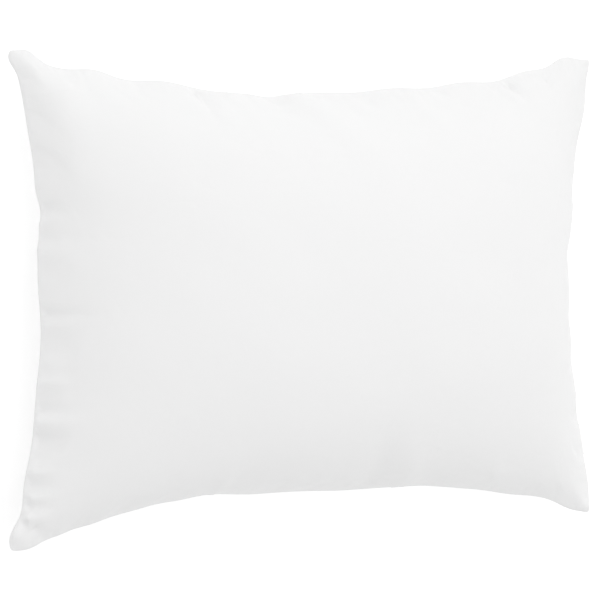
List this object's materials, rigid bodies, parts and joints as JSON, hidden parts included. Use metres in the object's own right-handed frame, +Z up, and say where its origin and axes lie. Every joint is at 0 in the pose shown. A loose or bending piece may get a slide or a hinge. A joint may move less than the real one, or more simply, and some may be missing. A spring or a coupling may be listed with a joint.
{
  "type": "bed pillow",
  "caption": "Plump rectangular bed pillow with a knife-edge seam, soft pointed corners and sides that pull in between them.",
  "frame": {"origin": "under the middle of the pillow, on the surface that it rests on", "axes": "+X along the pillow's length, +Y along its width, +Z up through its thickness"},
  "size_m": [0.6442, 0.492, 0.216],
  "materials": {
    "panel_cotton": "fine plain-weave cotton, matt, with a faint sheen",
    "polyester_fibre": "loose crimped hollow fibre, matt",
    "sewing_thread": "twisted polyester thread, slight sheen",
    "label_tape": "smooth woven satin tape, blank"
  },
  "bodies": {
    "root": {"top_panel": "panel_cotton", "bottom_panel": "panel_cotton", "fibre_fill": "polyester_fibre", "needle_thread": "sewing_thread", "bobbin_thread": "sewing_thread", "overlock_thread": "sewing_thread", "closing_stitches": "sewing_thread", "care_label": "label_tape"}
  },
  "joints": []
}
